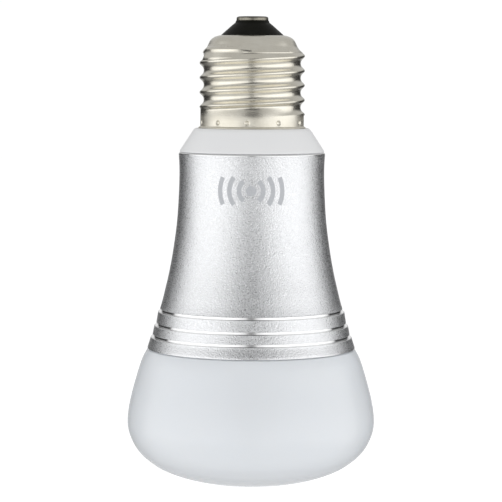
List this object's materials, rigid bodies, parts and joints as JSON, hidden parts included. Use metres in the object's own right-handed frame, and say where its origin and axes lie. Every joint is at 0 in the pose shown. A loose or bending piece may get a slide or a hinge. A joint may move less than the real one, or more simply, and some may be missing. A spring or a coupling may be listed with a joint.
{
  "type": "smart light bulb",
  "caption": "Screw-cap smart light bulb: flared metal body with grooved rim, white neck, opal globe, and the driver, radio and light board inside.",
  "frame": {"origin": "middle of the centre contact's outer face, the point that touches a lampholder's spring contact", "axes": "+Z runs along the lamp's axis, out of the screw cap towards the lampholder; the opal globe lies at -Z; -Y is the marked front of the body, +X its right-hand side seen from the front with the cap up"},
  "size_m": [0.0618, 0.0618, 0.1166],
  "materials": {
    "tinned_contact": "tinned, slightly domed and dull",
    "black_insulator": "moulded black, semi-gloss",
    "nickel_cap": "bright nickel plate on rolled sheet",
    "white_plastic": "moulded white, satin gloss",
    "zinc_screws": "zinc plated",
    "blasted_aluminium": "bead blasted and clear anodised, with diamond-cut groove edges",
    "milky_diffuser": "opal, glossy",
    "silicone": "cured translucent white bead",
    "stamped_aluminium": "rolled and stamped",
    "thermal_pad": "soft filled silicone",
    "white_solder_mask": "white solder mask on an aluminium core",
    "led_package": "white moulded package",
    "phosphor": "yellow phosphor in silicone",
    "clear_resin": "clear moulded window",
    "natural_plastic": "moulded, natural ivory",
    "fish_paper": "pressed insulating paper",
    "green_board": "green solder mask on glass-epoxy",
    "capacitor_sleeve": "shrunk dark sleeve over an aluminium can",
    "ferrite": "pressed and fired, dark grey",
    "winding_tape": "yellow polyester tape over copper wire",
    "tinned_can": "tinned sheet",
    "bare_copper": "gold-flashed copper track",
    "tinned_pins": "bright tin",
    "black_epoxy": "moulded epoxy, fine matte",
    "blue_epoxy": "dipped blue epoxy",
    "resistor_coat": "flameproof coat, matte teal",
    "yellow_case": "moulded yellow box",
    "white_connector": "moulded nylon",
    "brown_lead": "insulated wire",
    "blue_lead": "insulated wire"
  },
  "bodies": {
    "root": {"centre_contact": "tinned_contact", "cap_insulator": "black_insulator", "screw_shell": "nickel_cap", "neck_collar": "white_plastic", "collar_screws": "zinc_screws", "heat_sink_body": "blasted_aluminium", "diffuser_globe": "milky_diffuser", "globe_sealant": "silicone", "heat_spreader_plate": "stamped_aluminium", "thermal_pad": "thermal_pad", "led_board": "white_solder_mask", "board_screws": "zinc_screws", "white_led_packages": "led_package", "white_led_phosphor": "phosphor", "colour_led_packages": "led_package", "colour_led_windows": "clear_resin", "driver_sleeve": "natural_plastic", "insulating_disc": "fish_paper", "driver_board": "green_board", "bulk_capacitor": "capacitor_sleeve", "output_capacitor": "capacitor_sleeve", "transformer_core": "ferrite", "transformer_winding": "winding_tape", "radio_board": "green_board", "radio_shield": "tinned_can", "radio_aerial": "bare_copper", "radio_pins": "tinned_pins", "bridge_rectifier": "black_epoxy", "surge_varistor": "blue_epoxy", "fusible_resistor": "resistor_coat", "film_capacitor": "yellow_case", "filter_choke": "ferrite", "driver_chip": "black_epoxy", "driver_chip_pins": "tinned_pins", "output_header": "black_epoxy", "output_pins": "tinned_pins", "board_socket": "white_connector", "live_lead": "brown_lead", "neutral_lead": "blue_lead"}
  },
  "joints": []
}
